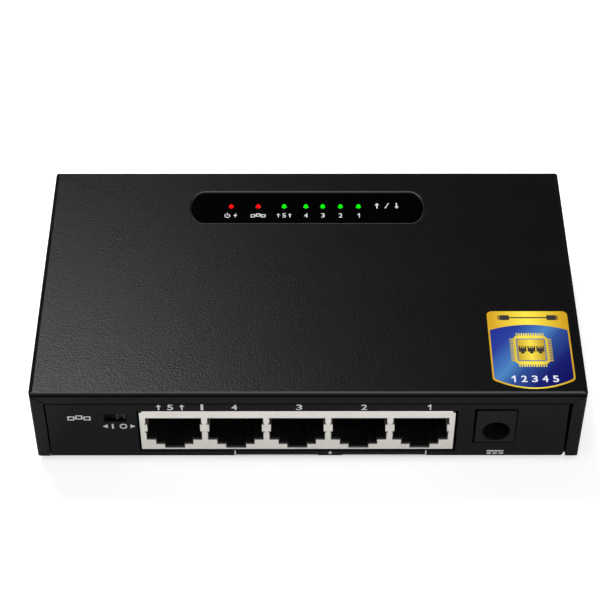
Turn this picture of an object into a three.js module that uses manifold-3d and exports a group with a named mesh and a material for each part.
// A five-port desktop network switch in a folded sheet-metal case.
//
// Frame: millimetres, +X to the right of the port panel, +Y from the port panel to the rear, +Z up.
// The origin is on the surface that the switch stands on, under the middle of the case.
//
// The case is two folded sheets. The cover is the top, both sides and a narrow frame round each end.
// The tray is the floor, the port panel and the rear panel, and it slides up into the cover.
// The circuit board stands on four standoffs in the tray and carries everything else.

import * as THREE from "three";
import { mergeVertices } from "three/addons/utils/BufferGeometryUtils.js";
import Module from "manifold-3d";

const wasm = await Module();
wasm.setup();

// ---------------------------------------------------------------- driving dimensions

const CASE_WIDTH = 124;
const CASE_DEPTH = 71.7;
const COVER_HEIGHT = 22;
const TRAY_DROP = 0.6; // how far the tray's underside is below the cover's lower edge
const FOOT_HEIGHT = 1.5;
const SHEET = 0.8; // thickness of both folded sheets
const TOP_BEND = 0.7; // outer radius of the folds round the cover's top
const CORNER_BEND = 0.5; // outer radius of the folds down the cover's four corners
const TRAY_BEND = 0.9; // outer radius of the tray's folds
const SHARP = 0.04; // inner radius of a fold as tight as the sheet is thick
const LIP_HEIGHT = 3.5; // the cover's frame along the top of each end
const FLANGE_WIDTH = 2.95; // the cover's frame down each side of each end
const MITRE_RISE = 2.4; // how far the frame's mitred joint climbs from its inner to its outer corner
const SLIT = 0.35; // width of the open mitred joint
const PANEL_GAP = { top: 0.5, left: 0.35, right: 0.5, lean: 0.4 }; // the right one widens by lean
const FIT = 0.3; // clearance between pieces that are assembled past each other

const FLOOR = FOOT_HEIGHT; // underside of the tray
const SILL = FLOOR + TRAY_DROP; // lower edge of the cover
const TOP = SILL + COVER_HEIGHT;
const HALF_W = CASE_WIDTH / 2;
const HALF_D = CASE_DEPTH / 2;
const TRAY_TOP = FLOOR + SHEET; // upper face of the tray's floor
const BOARD_THICKNESS = 1.6;
const BOARD_TOP = SILL + 4.8;
const BOARD_BOTTOM = BOARD_TOP - BOARD_THICKNESS;

// Ends of the case
const PANEL_FACE = -HALF_D + 0.15; // front face of the port panel
const PANEL_BACK = PANEL_FACE + SHEET;
const PANEL_LEFT = -HALF_W + FLANGE_WIDTH + PANEL_GAP.left;
const PANEL_RIGHT = HALF_W - FLANGE_WIDTH - PANEL_GAP.right;
const PANEL_TOP = TOP - LIP_HEIGHT - PANEL_GAP.top;

// Ports: five sockets side by side at the standard pitch
const PORTS = 5;
const PORT_PITCH = 13.97;
const PORT_BLOCK_X = -2.43; // middle of the port block
const SHIELD_WIDTH = 71.2;
const SHIELD_DEPTH = 16.2;
const SHIELD_SHEET = 0.3;
const SHIELD_FACE = PANEL_FACE + 0.2;
const SHIELD_BOTTOM = SILL + 1.92;
const SHIELD_TOP = SHIELD_BOTTOM + 13.44;
const BOARD_NOTCH_Y = -26.3; // the port block overhangs the board's edge from here forwards
const PLUG_DEPTH = 13; // from the shield's face to the end wall of a socket
const LATCH_DEPTH = 7.8;

// One socket's outline, from its middle line: half widths and heights of the steps
const SOCKET = {
  half: 6.32,
  top: SHIELD_BOTTOM + 11.12,
  tabTop: SHIELD_BOTTOM + 8.82,
  tabBottom: SHIELD_BOTTOM + 6.41,
  tabReach: 0.34, // how far the side spring tabs stand into the opening
  relief: 0.3, // cut beside each tab, so that it can fold
  floor: SHIELD_BOTTOM + 3.43,
  stepHalf: 4.27,
  stepFloor: SHIELD_BOTTOM + 1.85,
  latchHalf: 2.3,
  latchFloor: SHIELD_BOTTOM + 0.54,
};
const PLASTIC_INSET = { x: 0.25, z: 0.4 }; // the plastic walls stand inside the shield's openings

// Spring contacts of a socket
const CONTACTS = 8;
const CONTACT_PITCH = 1.02;
const CONTACT_WIDTH = 0.42;
const CONTACT_THICKNESS = 0.3;
const CONTACT_LENGTH = 7.6;
const CONTACT_SLOPE = 24; // degrees below level, towards the rear
const CONTACT_PIVOT = { y: -32.3, z: SHIELD_BOTTOM + 11.6 };
const CONTACT_BAR_R = 0.45;
const CONTACT_BAR_HALF = 4.85; // half the length of the bar that a socket's contacts bend at

// Power socket, right of the ports
const JACK_X = 42.65; // middle of its bore
const JACK = {
  x0: 37.95, x1: 46.95, height: 11, depth: 14, face: PANEL_FACE + 0.1,
  boreR: 3.12, boreZ: SILL + 8.4, boreDepth: 10.5,
  chin: 0.3, chinDepth: 1.3, // the front reaches down past the board's upper face
};
const JACK_HOLE = { x0: 37.5, x1: 47.1, z0: BOARD_TOP - 0.4, z1: BOARD_TOP + 11.6 }; // its opening in the panel

// Slide switch, left of the ports
const KNOB_TRAVEL = 2;
const SLOT = { x0: -45.9, x1: -40.85, z0: SILL + 12.1, z1: SILL + 14.65 };
const KNOB_WIDTH = 2.1;
const KNOB_X = SLOT.x1 - 0.2 - KNOB_WIDTH / 2; // the knob rests at the right end of its slot

// Status window in the top and the lamps under it
const WINDOW = { width: 56.4, depth: 10.8, y: 23.6, endRx: 3.2, recess: 0.7, film: 0.2 };
const LAMP_Y = 24.55;
const LAMP_XS = [-18.5, -11.9, -5.6, -0.3, 3.8, 8.1, 12.5];
const LAMP = { rx: 0.57, ry: 0.77 }; // the lenses are oval

// Fasteners and feet
const COVER_SCREW_Y = 22;
const COVER_SCREW_Z = SILL + 7.5;
const SCREW_SHANK_R = 1.45;
const BOARD_SCREW = { x: 53, y: 29 };
const FOOT = { x: 50, y: 26, r: 4.5 };
const KEYHOLE_X = 40; // the two keyholes are 80 mm apart

// ---------------------------------------------------------------- materials

const finish = (color, roughness, metalness) => new THREE.MeshStandardMaterial({ color, roughness, metalness });
const MATERIAL = {
  casePaint: finish(0x161617, 0.45, 0.2),
  tinPlate: finish(0xd3ccc3, 0.35, 0.9),
  blackPlastic: finish(0x0c0c0d, 0.5, 0),
  contactGold: finish(0xd2a447, 0.3, 1),
  nickel: finish(0xb9bcc0, 0.3, 1),
  windowFilm: finish(0x020202, 0.15, 0),
  lampRed: finish(0xff0a08, 0.3, 0),
  lampGreen: finish(0x08f010, 0.3, 0),
  circuitBoard: finish(0x14502c, 0.5, 0),
  chipBlack: finish(0x1b1b1d, 0.6, 0),
  heatsinkBlack: finish(0x17181a, 0.45, 0.7),
  thermalPad: finish(0x8fa6b8, 0.8, 0),
  capacitorSleeve: finish(0x1d2230, 0.35, 0),
  ferrite: finish(0x3a3b3d, 0.7, 0.1),
  zincSteel: finish(0xa9acaf, 0.4, 0.9),
  blackScrew: finish(0x1a1a1b, 0.4, 0.8),
  footRubber: finish(0x131313, 0.9, 0),
  badgeFoil: finish(0xe8b52e, 0.35, 0.4),
  fuseCeramic: finish(0xe4e0d6, 0.6, 0),
};

// ---------------------------------------------------------------- solids

// A manifold solid from a closed three.js geometry.
function solid(geometry) {
  const bare = new THREE.BufferGeometry();
  const source = geometry.index ? geometry.toNonIndexed() : geometry;
  bare.setAttribute("position", source.getAttribute("position"));
  const merged = mergeVertices(bare, 1e-4);
  const index = merged.index.array;
  const kept = [];
  for (let i = 0; i < index.length; i += 3) {
    const [a, b, c] = [index[i], index[i + 1], index[i + 2]];
    if (a !== b && b !== c && c !== a) kept.push(a, b, c); // a pole or an axis leaves empty triangles
  }
  const vertProperties = merged.attributes.position.array;
  return new wasm.Manifold(new wasm.Mesh({ numProp: 3, vertProperties, triVerts: new Uint32Array(kept) }));
}

function geometryOf(made) {
  const mesh = made.getMesh();
  const geometry = new THREE.BufferGeometry();
  geometry.setAttribute("position", new THREE.BufferAttribute(new Float32Array(mesh.vertProperties), 3));
  geometry.setIndex(new THREE.BufferAttribute(new Uint32Array(mesh.triVerts), 1));
  return geometry;
}

const join = (first, ...others) => others.reduce((whole, next) => whole.add(next), first);
const cut = (first, ...others) => others.reduce((whole, next) => whole.subtract(next), first);

function block(x0, x1, y0, y1, z0, z1) {
  const box = new THREE.BoxGeometry(x1 - x0, y1 - y0, z1 - z0);
  return solid(box.translate((x0 + x1) / 2, (y0 + y1) / 2, (z0 + z1) / 2));
}

// A shape drawn in X and Y, extruded up from z0.
function plate(shape, z0, thickness, curveSegments = 6) {
  const extruded = new THREE.ExtrudeGeometry(shape, { depth: thickness, bevelEnabled: false, curveSegments });
  return solid(extruded.translate(0, 0, z0));
}

// A shape drawn in X and Z, extruded towards the rear from y0.
function wall(shape, y0, thickness, curveSegments = 6) {
  const extruded = new THREE.ExtrudeGeometry(shape, { depth: thickness, bevelEnabled: false, curveSegments });
  return solid(extruded.rotateX(Math.PI / 2).translate(0, y0 + thickness, 0));
}

// A shape drawn in Y and Z, extruded to the right from x0.
const SIDEWAYS = new THREE.Matrix4().makeBasis(
  new THREE.Vector3(0, 1, 0),
  new THREE.Vector3(0, 0, 1),
  new THREE.Vector3(1, 0, 0),
);
function rail(shape, x0, length, curveSegments = 6) {
  const extruded = new THREE.ExtrudeGeometry(shape, { depth: length, bevelEnabled: false, curveSegments });
  return solid(extruded.applyMatrix4(SIDEWAYS).translate(x0, 0, 0));
}

// A round bar or cone along Z, Y or X, from one end to the other.
function upright(x, y, z0, z1, r0, r1 = r0, segments = 24) {
  const cylinder = new THREE.CylinderGeometry(r1, r0, z1 - z0, segments);
  return solid(cylinder.rotateX(Math.PI / 2).translate(x, y, (z0 + z1) / 2));
}
function rearward(x, z, y0, y1, r0, r1 = r0, segments = 24) {
  const cylinder = new THREE.CylinderGeometry(r1, r0, y1 - y0, segments);
  return solid(cylinder.translate(x, (y0 + y1) / 2, z));
}
function crosswise(y, z, x0, x1, r0, r1 = r0, segments = 24) {
  const cylinder = new THREE.CylinderGeometry(r1, r0, x1 - x0, segments);
  return solid(cylinder.rotateZ(-Math.PI / 2).translate((x0 + x1) / 2, y, z));
}

// A solid turned from a profile of [radius, height] points, standing at x, y. squeeze narrows it along X.
function turned(points, x, y, segments = 20, squeeze = 1) {
  const lathe = new THREE.LatheGeometry(points.map(([r, z]) => new THREE.Vector2(r, z)), segments);
  return solid(lathe.rotateX(Math.PI / 2).scale(squeeze, 1, 1).translate(x, y, 0));
}

// ---------------------------------------------------------------- outlines

function polygon(points) {
  return new THREE.Shape(points.map(([u, v]) => new THREE.Vector2(u, v)));
}

function rectangle(u0, u1, v0, v1) {
  return polygon([[u0, v0], [u1, v0], [u1, v1], [u0, v1]]);
}

// A rectangle whose corners are quarter ellipses.
function roundedRectangle(u0, u1, v0, v1, ru, rv = ru) {
  const shape = new THREE.Shape();
  shape.moveTo(u0 + ru, v0);
  shape.lineTo(u1 - ru, v0);
  shape.absellipse(u1 - ru, v0 + rv, ru, rv, -Math.PI / 2, 0, false);
  shape.lineTo(u1, v1 - rv);
  shape.absellipse(u1 - ru, v1 - rv, ru, rv, 0, Math.PI / 2, false);
  shape.lineTo(u0 + ru, v1);
  shape.absellipse(u0 + ru, v1 - rv, ru, rv, Math.PI / 2, Math.PI, false);
  shape.lineTo(u0, v0 + rv);
  shape.absellipse(u0 + ru, v0 + rv, ru, rv, Math.PI, Math.PI * 1.5, false);
  return shape;
}

// A rectangle with only its upper corners rounded, which is a folded sheet seen end on.
function foldedOutline(half, v0, v1, radius) {
  const shape = new THREE.Shape();
  shape.moveTo(-half, v0);
  shape.lineTo(half, v0);
  shape.lineTo(half, v1 - radius);
  shape.absarc(half - radius, v1 - radius, radius, 0, Math.PI / 2, false);
  shape.lineTo(-half + radius, v1);
  shape.absarc(-half + radius, v1 - radius, radius, Math.PI / 2, Math.PI, false);
  return shape;
}

// A slot with round ends that stands on end, for vents.
function ventSlot(u, v0, v1, width) {
  const r = width / 2;
  return roundedRectangle(u - r, u + r, v0, v1, r * 0.999, r);
}

// The outline of the shield's opening for one socket, or of the moulded socket behind it.
function socketOutline(x, moulded) {
  const s = SOCKET;
  const inset = moulded ? PLASTIC_INSET : { x: 0, z: 0 };
  const half = s.half - inset.x;
  const latch = s.latchHalf - inset.x;
  const step = s.stepHalf - inset.x;
  const right = [[latch, s.latchFloor + inset.z], [latch, s.stepFloor + inset.z]];
  right.push([step, s.stepFloor + inset.z], [step, s.floor + inset.z], [half, s.floor + inset.z]);
  if (!moulded) {
    const tab = half - s.tabReach;
    right.push([half, s.tabBottom - s.relief * 2], [half + s.relief, s.tabBottom], [tab, s.tabBottom]);
    right.push([tab, s.tabTop], [half + s.relief, s.tabTop], [half, s.tabTop + s.relief * 2]);
  }
  right.push([half, s.top]);
  const left = right.map(([u, v]) => [-u, v]).reverse();
  return polygon([...right, ...left].map(([u, v]) => [x + u, v]));
}

function windowOutline(grow) {
  const halfW = WINDOW.width / 2 + grow;
  const halfD = WINDOW.depth / 2 + grow;
  const { y, endRx } = WINDOW;
  return roundedRectangle(-halfW, halfW, y - halfD, y + halfD, endRx + grow, halfD * 0.999);
}

// What cuts an oval hole for the lamp at x, larger than its lens by grow, from z0 up.
function lampHole(x, grow, z0) {
  const [rx, ry] = [LAMP.rx + grow, LAMP.ry + grow];
  const oval = roundedRectangle(x - rx, x + rx, LAMP_Y - ry, LAMP_Y + ry, rx * 0.999, ry * 0.999);
  return plate(oval, z0, TOP - z0, 3);
}

const portXs = Array.from({ length: PORTS }, (_, i) => PORT_BLOCK_X + (i - (PORTS - 1) / 2) * PORT_PITCH);

// ---------------------------------------------------------------- the case

// The space inside the case's outer faces, drawn in by inset on every side but the floor.
function caseEnvelope(inset, bottom) {
  const radius = Math.max(TOP_BEND - inset, SHARP);
  const corner = Math.max(CORNER_BEND - inset, SHARP);
  const w = HALF_W - inset;
  const d = HALF_D - inset;
  const seenFromFront = wall(foldedOutline(w, bottom, TOP - inset, radius), -HALF_D, CASE_DEPTH, 3);
  const seenFromSide = rail(foldedOutline(d, bottom, TOP - inset, radius), -HALF_W, CASE_WIDTH, 3);
  const seenFromAbove = plate(roundedRectangle(-w, w, -d, d, corner), bottom, TOP - bottom, 3);
  return seenFromFront.intersect(seenFromSide).intersect(seenFromAbove);
}

// The open mitre between the cover's lip and one flange. side and end are -1 or 1.
function mitreSlit(side, end) {
  const inner = [HALF_W - FLANGE_WIDTH - 0.2, TOP - LIP_HEIGHT - 0.1];
  const outer = [HALF_W + 0.5, TOP - LIP_HEIGHT + MITRE_RISE * 1.18];
  const corners = [inner, outer, [outer[0], outer[1] + SLIT], [inner[0], inner[1] + SLIT]];
  const band = polygon(corners.map(([u, v]) => [side * u, v]));
  const y0 = end < 0 ? -HALF_D - 1 : HALF_D - SHEET;
  return wall(band, y0, 1 + SHEET);
}

function topCover() {
  let cover = cut(caseEnvelope(0, SILL), caseEnvelope(SHEET, SILL - 1));

  // both ends are open between the lip and the flanges
  const mouth = HALF_W - FLANGE_WIDTH;
  cover = cut(cover, block(-mouth, mouth, -HALF_D - 1, HALF_D + 1, SILL - 1, TOP - LIP_HEIGHT));
  for (const side of [-1, 1]) for (const end of [-1, 1]) cover = cut(cover, mitreSlit(side, end));

  // the recess for the status window is pressed down into the sheet
  const recessFloor = TOP - WINDOW.recess;
  cover = join(cover, plate(windowOutline(SHEET), recessFloor - SHEET, WINDOW.recess, 5));
  cover = cut(cover, plate(windowOutline(0), recessFloor, WINDOW.recess + 1, 5));
  for (const x of LAMP_XS) cover = cut(cover, lampHole(x, 0.3, recessFloor - 2));

  // vents along both sides, above the tray's side walls
  const ventCount = 9;
  const ventPitch = 4.5;
  for (let i = 0; i < ventCount; i++) {
    const slot = ventSlot((i - (ventCount - 1) / 2) * ventPitch, SILL + 12.2, SILL + 18.4, 1.8);
    cover = cut(cover, rail(slot, -HALF_W - 1, CASE_WIDTH + 2, 2));
  }

  // countersunk holes for the cover screws
  for (const side of [-1, 1]) {
    for (const y of [-COVER_SCREW_Y, COVER_SCREW_Y]) {
      const outer = HALF_W + 0.01;
      const inner = HALF_W - SHEET - 0.01;
      const hole = side > 0
        ? crosswise(y, COVER_SCREW_Z, inner, outer, SCREW_SHANK_R + 0.35, SCREW_SHANK_R + 1.2, 20)
        : crosswise(y, COVER_SCREW_Z, -outer, -inner, SCREW_SHANK_R + 1.2, SCREW_SHANK_R + 0.35, 20);
      cover = cut(cover, hole);
    }
  }
  return cover;
}

// The tray's floor and end panels seen from the side: one sheet folded up at both ends.
function trayChannel() {
  const out = HALF_D - 0.15;
  const outer = new THREE.Shape();
  outer.moveTo(-out, PANEL_TOP);
  outer.lineTo(-out, FLOOR + TRAY_BEND);
  outer.absarc(-out + TRAY_BEND, FLOOR + TRAY_BEND, TRAY_BEND, Math.PI, Math.PI * 1.5, false);
  outer.lineTo(out - TRAY_BEND, FLOOR);
  outer.absarc(out - TRAY_BEND, FLOOR + TRAY_BEND, TRAY_BEND, Math.PI * 1.5, Math.PI * 2, false);
  outer.lineTo(out, PANEL_TOP);
  outer.lineTo(out - SHEET, PANEL_TOP);
  outer.lineTo(out - SHEET, TRAY_TOP);
  outer.lineTo(-out + SHEET, TRAY_TOP);
  outer.lineTo(-out + SHEET, PANEL_TOP);
  const channel = rail(outer, PANEL_LEFT, PANEL_RIGHT - PANEL_LEFT, 4);

  // the panels' right edges lean in towards the top
  const [foot, head] = [SILL, PANEL_TOP + 1];
  const beyond = PANEL_RIGHT + 1;
  const sliver = polygon([
    [PANEL_RIGHT + 0.05, foot], [beyond, foot], [beyond, head], [PANEL_RIGHT - PANEL_GAP.lean, head],
  ]);
  return cut(channel, wall(sliver, -HALF_D - 1, CASE_DEPTH + 2));
}

function keyhole(x) {
  const round = upright(x, -3, FLOOR - 1, TRAY_TOP + 0.5, 3.9, 3.9, 20);
  const narrow = plate(roundedRectangle(x - 2.1, x + 2.1, -3, 5, 2.09), FLOOR - 1, SHEET + 1.5, 3);
  return join(round, narrow);
}

function bottomTray() {
  let tray = trayChannel();

  // floor strips and side walls that reach out to the cover's sides
  const outerX = HALF_W - SHEET - 0.35;
  const earY = HALF_D - SHEET - 0.7;
  const wallTop = SILL + 11;
  for (const side of [-1, 1]) {
    const strip = [side < 0 ? PANEL_LEFT + 1 : PANEL_RIGHT - 1, side * outerX].sort((a, b) => a - b);
    const sheet = [side * (outerX - SHEET), side * outerX].sort((a, b) => a - b);
    tray = join(tray, block(...strip, -earY, earY, FLOOR, TRAY_TOP));
    tray = join(tray, block(...sheet, -earY, earY, FLOOR, wallTop));
    for (const y of [-COVER_SCREW_Y, COVER_SCREW_Y]) {
      const boss = [side * (outerX - SHEET - 0.9), side * (outerX - 0.1)].sort((a, b) => a - b);
      const hole = [side * (outerX - 3), side * (outerX + 1)].sort((a, b) => a - b);
      tray = join(tray, crosswise(y, COVER_SCREW_Z, ...boss, 2.6, 2.6, 16));
      tray = cut(tray, crosswise(y, COVER_SCREW_Z, ...hole, SCREW_SHANK_R + 0.15, SCREW_SHANK_R + 0.15, 16));
    }
  }

  // openings in the port panel: the port block, the power socket and the slide switch
  const through = [PANEL_FACE - 1, PANEL_BACK + 1];
  const portHalf = SHIELD_WIDTH / 2 + 0.5;
  const portX = PORT_BLOCK_X + 0.05;
  const portZ = [SHIELD_BOTTOM - 0.35, SHIELD_TOP + 0.35];
  tray = cut(tray, block(portX - portHalf, portX + portHalf, ...through, ...portZ));
  tray = cut(tray, block(JACK_HOLE.x0, JACK_HOLE.x1, ...through, JACK_HOLE.z0, JACK_HOLE.z1));
  tray = cut(tray, block(SLOT.x0, SLOT.x1, ...through, SLOT.z0, SLOT.z1));

  // vents in the rear panel and the wall-hanging keyholes in the floor
  const ventCount = 13;
  const ventPitch = 6;
  for (let i = 0; i < ventCount; i++) {
    const slot = ventSlot((i - (ventCount - 1) / 2) * ventPitch, SILL + 7, SILL + 14, 1.8);
    tray = cut(tray, wall(slot, HALF_D - 2, 3, 2));
  }
  return cut(tray, keyhole(-KEYHOLE_X), keyhole(KEYHOLE_X));
}

function foot(x, y) {
  return turned([[0, 0], [FOOT.r - 0.5, 0], [FOOT.r, 0.5], [FOOT.r, FOOT_HEIGHT], [0, FOOT_HEIGHT]], x, y, 20);
}

// A flat-head screw driven in from the side, its head flush with the cover.
function coverScrew(side, y) {
  const face = HALF_W - 0.06;
  const seat = HALF_W - SHEET;
  const tip = HALF_W - 3.7;
  const along = (a, b, ra, rb, segments) => (side > 0
    ? crosswise(y, COVER_SCREW_Z, a, b, ra, rb, segments)
    : crosswise(y, COVER_SCREW_Z, -b, -a, rb, ra, segments));
  const head = along(seat, face, SCREW_SHANK_R + 0.2, SCREW_SHANK_R + 1.02, 20);
  let screw = join(head, along(tip, seat + 0.1, SCREW_SHANK_R, SCREW_SHANK_R, 12));
  for (const [dy, dz] of [[1.5, 0.32], [0.32, 1.5]]) {
    const span = [side * (face - 0.5), side * (face + 0.5)].sort((a, b) => a - b);
    screw = cut(screw, block(...span, y - dy, y + dy, COVER_SCREW_Z - dz, COVER_SCREW_Z + dz));
  }
  return screw;
}

// ---------------------------------------------------------------- the board

function mainBoard() {
  const front = -HALF_D + 1.85;
  const rear = HALF_D - 2.85;
  const side = HALF_W - 4.25;
  const notch0 = PORT_BLOCK_X - SHIELD_WIDTH / 2 - 0.85;
  const notch1 = PORT_BLOCK_X + SHIELD_WIDTH / 2 + 0.85;
  const outline = polygon([
    [-side, front], [notch0, front], [notch0, BOARD_NOTCH_Y], [notch1, BOARD_NOTCH_Y], [notch1, front],
    [side, front], [side, rear], [-side, rear],
  ]);
  let board = plate(outline, BOARD_BOTTOM, BOARD_THICKNESS);
  for (const x of [-BOARD_SCREW.x, BOARD_SCREW.x]) {
    for (const y of [-BOARD_SCREW.y, BOARD_SCREW.y]) {
      board = cut(board, upright(x, y, BOARD_BOTTOM - 1, BOARD_TOP + 1, 1.65, 1.65, 16));
    }
  }
  return board;
}

function standoff(x, y) {
  const hexagon = upright(x, y, TRAY_TOP, BOARD_BOTTOM, 3, 3, 6);
  return cut(hexagon, upright(x, y, TRAY_TOP - 1, BOARD_BOTTOM + 1, 1.6, 1.6, 16));
}

// A pan-head screw with a cross recess, driven down into a standoff.
function boardScrew(x, y) {
  const head = BOARD_TOP;
  const body = turned([
    [0, TRAY_TOP + 0.5], [SCREW_SHANK_R, TRAY_TOP + 0.5], [SCREW_SHANK_R, head], [2.75, head],
    [2.75, head + 1.1], [2.2, head + 1.8], [0, head + 2.05],
  ], x, y, 14);
  const arm = (dx, dy) => block(x - dx, x + dx, y - dy, y + dy, head + 0.9, head + 3);
  return cut(body, arm(1.5, 0.3), arm(0.3, 1.5));
}

// ---------------------------------------------------------------- the port block

// The stamped tin-plate shell round all five sockets. It's open below, behind the board's edge.
function portShield() {
  const x0 = PORT_BLOCK_X - SHIELD_WIDTH / 2;
  const x1 = PORT_BLOCK_X + SHIELD_WIDTH / 2;
  const y1 = SHIELD_FACE + SHIELD_DEPTH;
  const t = SHIELD_SHEET;
  let shield = plate(rectangle(x0, x1, SHIELD_FACE, y1), SHIELD_BOTTOM, SHIELD_TOP - SHIELD_BOTTOM);
  shield = cut(shield, block(x0 + t, x1 - t, SHIELD_FACE + t, y1 - t, SHIELD_BOTTOM + t, SHIELD_TOP - t));
  shield = cut(shield, block(x0 - 1, x1 + 1, BOARD_NOTCH_Y - FIT, y1 + 1, SHIELD_BOTTOM - 1, BOARD_TOP + 0.05));
  for (const x of portXs) shield = cut(shield, wall(socketOutline(x, false), SHIELD_FACE - 1, 1 + t + 0.01));
  return shield;
}

// The moulded block inside the shield, with a socket for each port.
function portHousing() {
  const gap = SHIELD_SHEET + 0.05;
  const x0 = PORT_BLOCK_X - SHIELD_WIDTH / 2 + gap;
  const x1 = PORT_BLOCK_X + SHIELD_WIDTH / 2 - gap;
  const y0 = SHIELD_FACE + gap;
  const y1 = SHIELD_FACE + SHIELD_DEPTH - gap;
  const top = SHIELD_TOP - gap;
  const front = block(x0, x1, y0, BOARD_NOTCH_Y - FIT - 0.05, SHIELD_BOTTOM + gap, top);
  let housing = join(front, block(x0, x1, BOARD_NOTCH_Y - 2, y1, BOARD_TOP + 0.05, top));
  const endWall = SHIELD_FACE + PLUG_DEPTH;
  for (const x of portXs) {
    const half = SOCKET.half - PLASTIC_INSET.x;
    const ceiling = SOCKET.top - 0.3;
    housing = cut(housing, wall(socketOutline(x, true), y0 - 1, LATCH_DEPTH + 1));
    housing = cut(housing, block(x - half, x + half, y0 - 1, endWall, SOCKET.floor + PLASTIC_INSET.z, ceiling));
    // room above the socket's ceiling for the contacts, and bearings for the ends of their bar
    const { y, z } = CONTACT_PIVOT;
    const roomHalf = CONTACT_BAR_HALF - 0.25;
    housing = cut(housing, block(x - roomHalf, x + roomHalf, y - 0.85, y + 9, ceiling - 1, z + 0.85));
    const bearing = CONTACT_BAR_HALF + 0.15;
    const bearingR = CONTACT_BAR_R + 0.1;
    housing = cut(housing, crosswise(y, z, x - bearing, x + bearing, bearingR, bearingR, 10));
  }
  return housing;
}

// The eight spring contacts of one socket and the bar that they bend at.
function portContacts(x) {
  const slope = THREE.MathUtils.degToRad(CONTACT_SLOPE);
  const { y, z } = CONTACT_PIVOT;
  const half = CONTACT_THICKNESS / 2;
  const [c, s] = [Math.cos(slope), Math.sin(slope)];
  const along = ([u, v]) => [y + u * c + v * s, z - u * s + v * c];
  // one contact from the side: straight, with its free end turned up a little
  const end = CONTACT_LENGTH;
  const profile = polygon([
    [0, -half], [end - 0.8, -half], [end, half * 1.4], [end - 0.15, half * 3], [end - 0.95, half], [0, half],
  ].map(along));
  let contacts = crosswise(y, z, x - CONTACT_BAR_HALF, x + CONTACT_BAR_HALF, CONTACT_BAR_R, CONTACT_BAR_R, 10);
  for (let i = 0; i < CONTACTS; i++) {
    const left = x + (i - (CONTACTS - 1) / 2) * CONTACT_PITCH - CONTACT_WIDTH / 2;
    contacts = join(contacts, rail(profile, left, CONTACT_WIDTH));
  }
  return contacts;
}

// ---------------------------------------------------------------- power socket

const JACK_BACK = JACK.face + JACK.depth;
const JACK_BORE_END = JACK.face + JACK.boreDepth;
const JACK_SPRING = { y: JACK_BORE_END - 0.6, x: JACK_X + JACK.boreR + 0.35, length: 7, root: 1.5 };
const LEAF = 0.25; // thickness of the spring's leaf

function jackBody() {
  const { x0, x1, face, chin, chinDepth } = JACK;
  const top = BOARD_TOP + JACK.height;
  let body = block(x0, x1, face, face + chinDepth, BOARD_TOP - chin, top);
  body = join(body, block(x0, x1, face + 1, face + 3.2, BOARD_TOP, top));
  body = join(body, block(x0, x1, face + 3, JACK_BACK, BOARD_TOP, top - 1));
  body = cut(body, rearward(JACK_X, JACK.boreZ, JACK.face - 1, JACK_BORE_END, JACK.boreR, JACK.boreR, 32));
  body = cut(body, rearward(JACK_X, JACK.boreZ, JACK_BORE_END - 1, JACK_BACK + 1, 1.15));
  // beside the bore, a pocket for the spring contact and a slot that holds the contact's root
  const { x, y, length, root } = JACK_SPRING;
  const z = JACK.boreZ;
  const pocket = block(JACK_X + 1.5, x1 - 0.35, y - length - 0.8, y + 0.1, z - 1.35, z + 1.35);
  const seat = block(x - 0.12, x + LEAF + 0.12, y, y + root + 0.1, z - 1.1, z + 1.1);
  return cut(body, pocket, seat);
}

// The centre pin, with its round tip well inside the bore and its tail bent down to the board.
function jackPin() {
  const tip = JACK.face + 3;
  const pin = rearward(JACK_X, JACK.boreZ, tip + 0.5, JACK_BACK + 0.6, 1, 1, 16);
  const nose = rearward(JACK_X, JACK.boreZ, tip, tip + 0.55, 0.5, 1, 16);
  const tail = block(JACK_X - 1, JACK_X + 1, JACK_BACK + 0.2, JACK_BACK + 0.6, BOARD_TOP, JACK.boreZ);
  return join(pin, nose, tail);
}

// The leaf that presses on a plug's barrel. It bends outwards from its rear end.
function jackSpring() {
  const { x, y, length, root } = JACK_SPRING;
  const leaf = polygon([
    [x, y + root], [x, y - length * 0.45], [x - 0.85, y - length * 0.72], [x - 0.1, y - length],
    [x - 0.1 + LEAF, y - length], [x - 0.85 + LEAF * 1.5, y - length * 0.72], [x + LEAF, y - length * 0.42],
    [x + LEAF, y + root],
  ].reverse());
  return plate(leaf, JACK.boreZ - 1, 2);
}

// ---------------------------------------------------------------- slide switch

const SWITCH = {
  x: (SLOT.x0 + SLOT.x1) / 2,
  z: (SLOT.z0 + SLOT.z1) / 2,
  half: 4.3,
  halfH: 2.2,
  front: PANEL_BACK + 0.4,
  depth: 3.6,
  sheet: 0.3,
};

// The folded steel frame, with a window for the knob and two legs down to the board.
function switchFrame() {
  const { x, z, half, halfH, front, depth, sheet } = SWITCH;
  const [inner, innerH] = [half - sheet, halfH - sheet];
  let frame = block(x - half, x + half, front, front + depth, z - halfH, z + halfH);
  frame = cut(frame, block(x - inner, x + inner, front + sheet, front + depth + 1, z - innerH, z + innerH));
  frame = cut(frame, block(SLOT.x0 - 0.1, SLOT.x1 + 0.1, front - 1, front + 1, SLOT.z0, SLOT.z1));
  for (const side of [-1, 1]) {
    const leg = [side * (half - sheet), side * half].map((u) => x + u).sort((a, b) => a - b);
    frame = join(frame, block(...leg, front + 0.8, front + 2.6, BOARD_TOP, z - halfH + 0.5));
  }
  return frame;
}

// The insulating base that closes the frame's back, with its three terminals.
function switchBase() {
  const { x, z, half, halfH, front, depth } = SWITCH;
  const face = front + 2.2;
  const rear = front + depth + 0.4;
  let base = block(x - half + 0.35, x + half - 0.35, face, rear, z - halfH + 0.35, z + halfH - 0.35);
  for (const dx of [-2, 0, 2]) {
    base = join(base, block(x + dx - 0.25, x + dx + 0.25, rear - 0.3, rear, BOARD_TOP, z));
  }
  return base;
}

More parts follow.
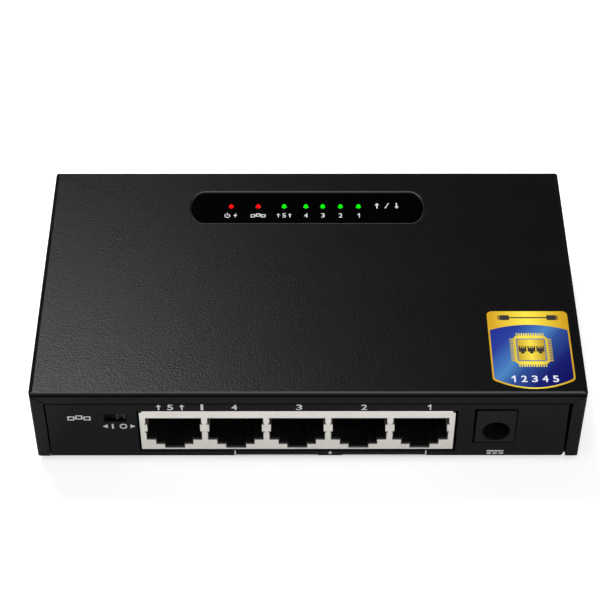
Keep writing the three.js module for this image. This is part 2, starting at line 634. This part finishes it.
// The knob: a ribbed button in the slot and a flange behind it that keeps it in the frame.
function switchKnob() {
  const { z, front } = SWITCH;
  const half = KNOB_WIDTH / 2;
  const face = PANEL_FACE + 0.4;
  let knob = block(KNOB_X - half, KNOB_X + half, face, front + 1, z - 1, z + 1);
  knob = join(knob, block(KNOB_X - 2.1, KNOB_X + 2.1, front + 0.6, front + 1.5, z - 1.45, z + 1.45));
  return cut(knob, block(KNOB_X - 0.5, KNOB_X + 0.5, face - 1, face + 0.6, z - 2, z + 2));
}

// The sprung bridge on the knob's back that joins two of the base's contacts.
function switchWiper() {
  const { z, front } = SWITCH;
  const y = front + 1.53;
  const arch = polygon([
    [KNOB_X - 1.6, y], [KNOB_X + 1.6, y], [KNOB_X + 1.6, y + 0.12], [KNOB_X + 0.9, y + 0.34],
    [KNOB_X - 0.9, y + 0.34], [KNOB_X - 1.6, y + 0.12],
  ]);
  return plate(arch, z - 0.6, 1.2);
}

// ---------------------------------------------------------------- status lamps

function windowFilm() {
  let film = plate(windowOutline(-0.15), TOP - WINDOW.recess, WINDOW.film, 5);
  for (const x of LAMP_XS) film = cut(film, lampHole(x, 0.12, TOP - 2));
  return film;
}

const HOLDER_TOP = TOP - 4.2;

// The block that holds the lamps upright under the window.
function lampHolder() {
  let holder = block(LAMP_XS[0] - 2.3, LAMP_XS.at(-1) + 2.3, LAMP_Y - 1.9, LAMP_Y + 1.9, BOARD_TOP, HOLDER_TOP);
  for (const x of LAMP_XS) holder = cut(holder, upright(x, LAMP_Y, BOARD_TOP - 1, HOLDER_TOP + 1, 1.3, 1.3, 8));
  return holder;
}

// One lamp: a small domed light-emitting diode on two long legs.
function lamp(x) {
  const tip = TOP - 0.2;
  const shoulder = TOP - 2.2;
  const body = [[0, HOLDER_TOP - 1.5], [1, HOLDER_TOP - 1.5], [1, HOLDER_TOP + 0.05], [1.55, HOLDER_TOP + 0.05]];
  body.push([1.55, HOLDER_TOP + 0.5], [1, HOLDER_TOP + 0.5], [1, shoulder - 0.3], [LAMP.ry, shoulder]);
  const domeSteps = 2;
  for (let i = 0; i < domeSteps; i++) {
    const turn = (i / domeSteps) * (Math.PI / 2);
    body.push([LAMP.ry * Math.cos(turn), tip - LAMP.ry + LAMP.ry * Math.sin(turn)]);
  }
  body.push([0, tip]);
  const leg = (dx) => block(x + dx - 0.2, x + dx + 0.2, LAMP_Y - 0.2, LAMP_Y + 0.2, BOARD_TOP, HOLDER_TOP - 1);
  return join(turned(body, x, LAMP_Y, 8, LAMP.rx / LAMP.ry), leg(-0.45), leg(0.45));
}

// ---------------------------------------------------------------- parts on the board

// A flat package with sloping leads along two opposite edges, at x, y on the board.
function leadedPackage(x, y, width, depth, height, leads, pitch) {
  const stand = 0.1;
  const [dx, dy] = [width / 2, depth / 2];
  let made = block(x - dx, x + dx, y - dy, y + dy, BOARD_TOP + stand, BOARD_TOP + height);
  const outline = (end) => polygon([
    [depth / 2 - 0.3, 0.9], [depth / 2 + 1.1, 0.2], [depth / 2 + 1.1, 0], [depth / 2 - 0.3, 0.65],
  ].map(([u, v]) => [y + end * u, BOARD_TOP + v]));
  for (const end of [-1, 1]) {
    for (let i = 0; i < leads; i++) {
      const left = x + (i - (leads - 1) / 2) * pitch - pitch * 0.2;
      made = join(made, rail(outline(end), left, pitch * 0.4));
    }
  }
  return made;
}

// A low box with its upper edges chamfered, such as a moulded diode or an inductor.
function chamferedBox(x, y, width, depth, height, chamfer) {
  const z1 = BOARD_TOP + height;
  const full = block(x - width / 2, x + width / 2, y - depth / 2, y + depth / 2, BOARD_TOP, z1);
  const across = polygon([
    [-width / 2, BOARD_TOP], [width / 2, BOARD_TOP], [width / 2, z1 - chamfer], [width / 2 - chamfer, z1],
    [-width / 2 + chamfer, z1], [-width / 2, z1 - chamfer],
  ].map(([u, v]) => [x + u, v]));
  return full.intersect(wall(across, y - depth, depth * 2));
}

function heatsink(x, y, base, size, fins) {
  const z0 = BOARD_TOP + base;
  let sink = block(x - size / 2, x + size / 2, y - size / 2, y + size / 2, z0, z0 + 8);
  const pitch = size / (fins - 0.45);
  for (let i = 0; i < fins - 1; i++) {
    const gap0 = x - size / 2 + i * pitch + pitch * 0.55;
    sink = cut(sink, block(gap0, gap0 + pitch * 0.45, y - size, y + size, z0 + 1.6, z0 + 9));
  }
  return sink;
}

// A can-type electrolytic capacitor with the roll-in near its foot.
function capacitor(x, y, r, height) {
  const z = BOARD_TOP;
  return turned([
    [0, z], [r - 0.4, z], [r, z + 0.4], [r, z + 1.3], [r - 0.45, z + 1.7], [r, z + 2.1],
    [r, z + height - 0.5], [r - 0.5, z + height], [0, z + height],
  ], x, y, 16);
}

function crystal(x, y) {
  const can = plate(roundedRectangle(x - 5.6, x + 5.6, y - 2.3, y + 2.3, 2.29), BOARD_TOP + 0.5, 3.2, 3);
  return join(can, plate(roundedRectangle(x - 6, x + 6, y - 2.6, y + 2.6, 2.59), BOARD_TOP, 0.6, 3));
}

// ---------------------------------------------------------------- badge

// A blank foil badge near the front right corner, its lower edge bowed towards the front.
function badge() {
  const { left, right, rear, front, bow } = { left: 41.1, right: 59.6, rear: -11.1, front: -32, bow: 2.6 };
  const corner = 1.2;
  const shape = new THREE.Shape();
  shape.moveTo(left, rear - corner);
  shape.lineTo(left, front);
  shape.quadraticCurveTo((left + right) / 2, front - bow * 2, right, front);
  shape.lineTo(right, rear - corner);
  shape.absarc(right - corner, rear - corner, corner, 0, Math.PI / 2, false);
  shape.lineTo(left + corner, rear);
  shape.absarc(left + corner, rear - corner, corner, Math.PI / 2, Math.PI, false);
  return plate(shape, TOP, 0.12);
}

// ---------------------------------------------------------------- assembly

const group = new THREE.Group();

function add(name, made, material) {
  const mesh = new THREE.Mesh(geometryOf(made), material);
  mesh.name = name;
  group.add(mesh);
}

add("top_cover", topCover(), MATERIAL.casePaint);
add("bottom_tray", bottomTray(), MATERIAL.casePaint);

const corners = [[-1, -1], [1, -1], [1, 1], [-1, 1]];
corners.forEach(([sx, sy], i) => {
  add(`foot_${i + 1}`, foot(sx * FOOT.x, sy * FOOT.y), MATERIAL.footRubber);
  add(`cover_screw_${i + 1}`, coverScrew(sx, sy * COVER_SCREW_Y), MATERIAL.blackScrew);
  add(`standoff_${i + 1}`, standoff(sx * BOARD_SCREW.x, sy * BOARD_SCREW.y), MATERIAL.zincSteel);
  add(`board_screw_${i + 1}`, boardScrew(sx * BOARD_SCREW.x, sy * BOARD_SCREW.y), MATERIAL.zincSteel);
});

add("main_board", mainBoard(), MATERIAL.circuitBoard);

add("port_shield", portShield(), MATERIAL.tinPlate);
add("port_housing", portHousing(), MATERIAL.blackPlastic);
portXs.forEach((x, i) => {
  const port = PORTS - i; // the ports count down from left to right
  add(`port_contacts_${port}`, portContacts(x), MATERIAL.contactGold);
  add(`lan_transformer_${port}`, leadedPackage(x, -12.5, 12.4, 7.2, 5.4, 8, 1.27), MATERIAL.chipBlack);
});

add("dc_jack_body", jackBody(), MATERIAL.blackPlastic);
add("dc_jack_pin", jackPin(), MATERIAL.nickel);
add("dc_jack_spring", jackSpring(), MATERIAL.nickel);

add("slide_switch_frame", switchFrame(), MATERIAL.nickel);
add("slide_switch_base", switchBase(), MATERIAL.chipBlack);
add("slide_switch_knob", switchKnob(), MATERIAL.blackPlastic);
add("slide_switch_wiper", switchWiper(), MATERIAL.contactGold);

add("status_window", windowFilm(), MATERIAL.windowFilm);
add("lamp_holder", lampHolder(), MATERIAL.blackPlastic);
const lampNames = ["power", "mode", "port_5", "port_4", "port_3", "port_2", "port_1"];
LAMP_XS.forEach((x, i) => add(`lamp_${lampNames[i]}`, lamp(x), i < 2 ? MATERIAL.lampRed : MATERIAL.lampGreen));

const chip = { x: -14, y: 6, size: 14, height: 1.5, pad: 0.5 };
const chipTop = BOARD_TOP + chip.height;
const chipPackage = leadedPackage(chip.x, chip.y, chip.size, chip.size, chip.height, 10, 1.27);
add("switch_chip", chipPackage, MATERIAL.chipBlack);
const padHalf = chip.size / 2 - 1;
const padX = [chip.x - padHalf, chip.x + padHalf];
const padY = [chip.y - padHalf, chip.y + padHalf];
add("thermal_pad", block(...padX, ...padY, chipTop, chipTop + chip.pad), MATERIAL.thermalPad);
add("heatsink", heatsink(chip.x, chip.y, chip.height + chip.pad, chip.size, 7), MATERIAL.heatsinkBlack);
add("poe_controller", leadedPackage(8, 4, 10, 6.4, 1.3, 8, 1), MATERIAL.chipBlack);
add("buck_regulator", leadedPackage(26, -2, 5, 4, 1.6, 4, 1.27), MATERIAL.chipBlack);
add("clock_crystal", crystal(-33, 6), MATERIAL.nickel);
add("power_inductor", chamferedBox(41, -4, 12, 12, 6, 1), MATERIAL.ferrite);
add("bulk_capacitor", capacitor(44, 12, 5, 12.5), MATERIAL.capacitorSleeve);
add("filter_capacitor", capacitor(30, 11, 3.15, 11), MATERIAL.capacitorSleeve);
add("input_diode", chamferedBox(52.5, -12, 5.8, 7, 2.3, 0.5), MATERIAL.chipBlack);
add("input_fuse", chamferedBox(51.5, -21, 2.7, 6.1, 2.6, 0.3), MATERIAL.fuseCeramic);

add("badge", badge(), MATERIAL.badgeFoil);

export default group;
